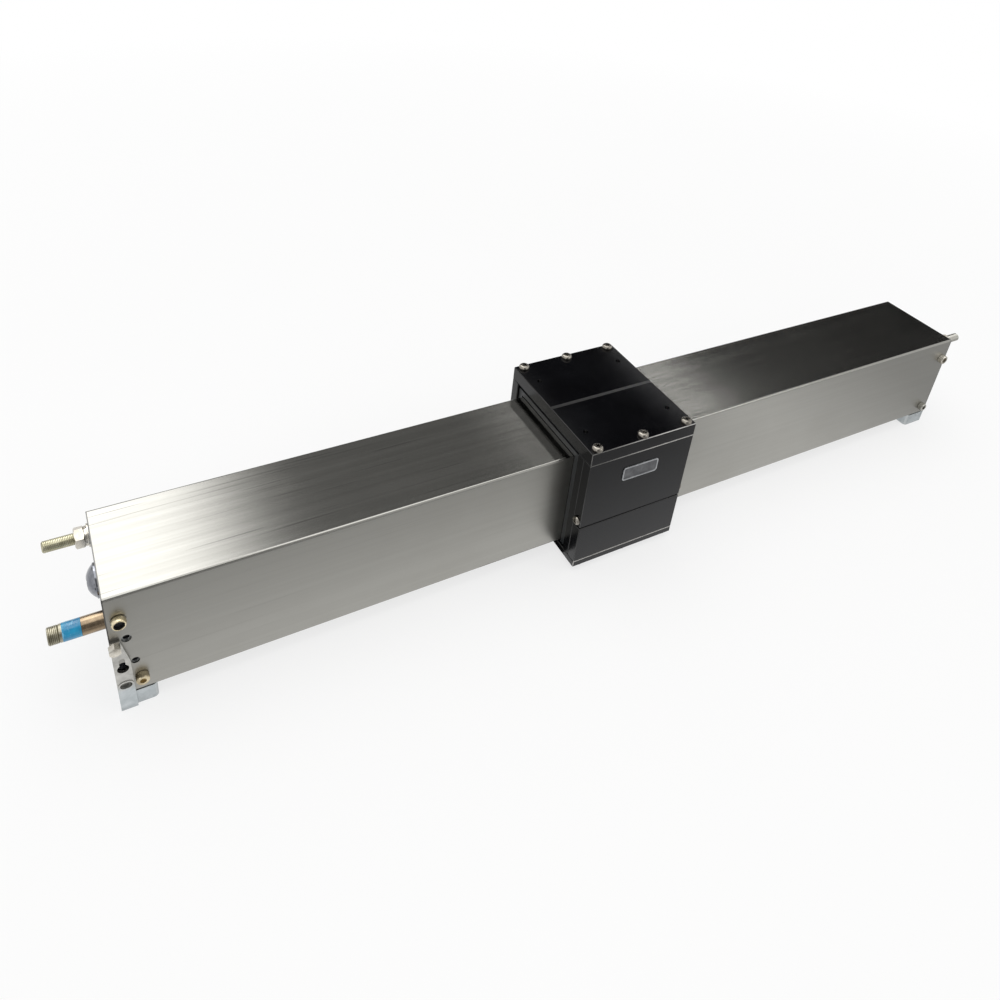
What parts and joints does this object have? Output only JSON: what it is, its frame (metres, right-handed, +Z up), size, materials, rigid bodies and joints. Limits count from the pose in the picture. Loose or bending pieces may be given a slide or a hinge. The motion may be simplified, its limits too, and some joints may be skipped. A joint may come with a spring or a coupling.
{
  "type": "slide table cylinder",
  "caption": "Long rectangular stainless-covered rodless air cylinder on end feet, with a black boxed carriage that slides along it on hidden guide shafts.",
  "frame": {"origin": "centre of the foot bolt pattern, on the mounting plane under the feet", "axes": "+X along the stroke, towards the right end in the picture; -Y is the front, with the split front plates; +Z up"},
  "size_m": [0.8656, 0.121, 0.1275],
  "materials": {
    "stainless_cover": "stainless sheet brushed along its length",
    "end_aluminium": "machined and clear anodised",
    "foot_aluminium": "cast, satin",
    "tube_steel": "drawn stainless tube and rod",
    "shaft_chrome": "ground and hard chromed",
    "black_oxide": "blackened steel",
    "cap_metal": "dark plated steel, polished dome",
    "yellow_zinc": "steel with yellow zinc plating",
    "white_zinc": "steel with bright zinc plating",
    "rubber": "moulded black rubber",
    "nickel_brass": "nickel plated brass, warm tint",
    "label_blue": "plain blue film band",
    "connector_metal": "dull threaded brass",
    "fitting_brass": "bare turned brass",
    "black_anodised": "black anodised, fine satin",
    "wiper_grey": "moulded grey plastic",
    "bright_nickel": "bright nickel plated steel",
    "slide_aluminium": "machined, clear anodised",
    "bush_bronze": "sintered bronze",
    "magnet_nickel": "nickel coated magnet",
    "yoke_steel": "ground soft iron"
  },
  "bodies": {
    "base": {"cover": "stainless_cover", "end_block_left": "end_aluminium", "end_block_right": "end_aluminium", "foot_left": "foot_aluminium", "foot_right": "foot_aluminium", "cylinder_tube": "tube_steel", "guide_shaft_front": "shaft_chrome", "guide_shaft_rear": "shaft_chrome", "shaft_screws": "black_oxide", "foot_screws": "black_oxide", "end_cap_left": "cap_metal", "end_cap_right": "cap_metal", "stop_bolt_left": "yellow_zinc", "stop_bolt_right": "yellow_zinc", "cover_screws": "yellow_zinc", "stop_nuts": "white_zinc", "stop_washers": "white_zinc", "stop_spring_washers": "white_zinc", "port_plugs": "white_zinc", "ear_bolts": "white_zinc", "bumper_left": "rubber", "bumper_right": "rubber", "tube_seals": "rubber", "sensor_left": "nickel_brass", "sensor_right": "nickel_brass", "sensor_nuts": "nickel_brass", "sensor_labels": "label_blue", "sensor_connectors": "connector_metal", "air_fitting_left": "fitting_brass", "air_fitting_right": "fitting_brass"},
    "carriage": {"top_plate": "black_anodised", "bottom_plate": "black_anodised", "side_plate_front": "black_anodised", "front_plate_upper": "black_anodised", "front_plate_lower": "black_anodised", "rear_plate": "black_anodised", "top_screws": "bright_nickel", "bottom_screws": "black_oxide", "end_screws": "bright_nickel", "side_plate_screws": "black_oxide", "bridge_bolts": "black_oxide", "wiper_left": "wiper_grey", "wiper_right": "wiper_grey", "slide_block": "slide_aluminium", "bridge_block": "slide_aluminium", "guide_bushes": "bush_bronze", "magnet_retainer_left": "slide_aluminium", "magnet_retainer_right": "slide_aluminium", "drive_magnets": "magnet_nickel", "drive_yokes": "yoke_steel"},
    "piston": {"piston_rod": "tube_steel", "piston_head_left": "slide_aluminium", "piston_head_right": "slide_aluminium", "piston_magnets": "magnet_nickel", "piston_yokes": "yoke_steel", "piston_seals": "rubber"}
  },
  "joints": [
    {"name": "carriage_slide", "type": "slide", "parent": "base", "child": "carriage", "axis": [1, 0, 0], "range_m": [-0.2885, 0.3115]},
    {"name": "piston_slide", "type": "slide", "parent": "base", "child": "piston", "axis": [1, 0, 0], "range_m": [-0.2885, 0.3115]}
  ],
  "couplings": [
    {"joint": "piston_slide", "follows": "carriage_slide", "ratio": 1}
  ]
}
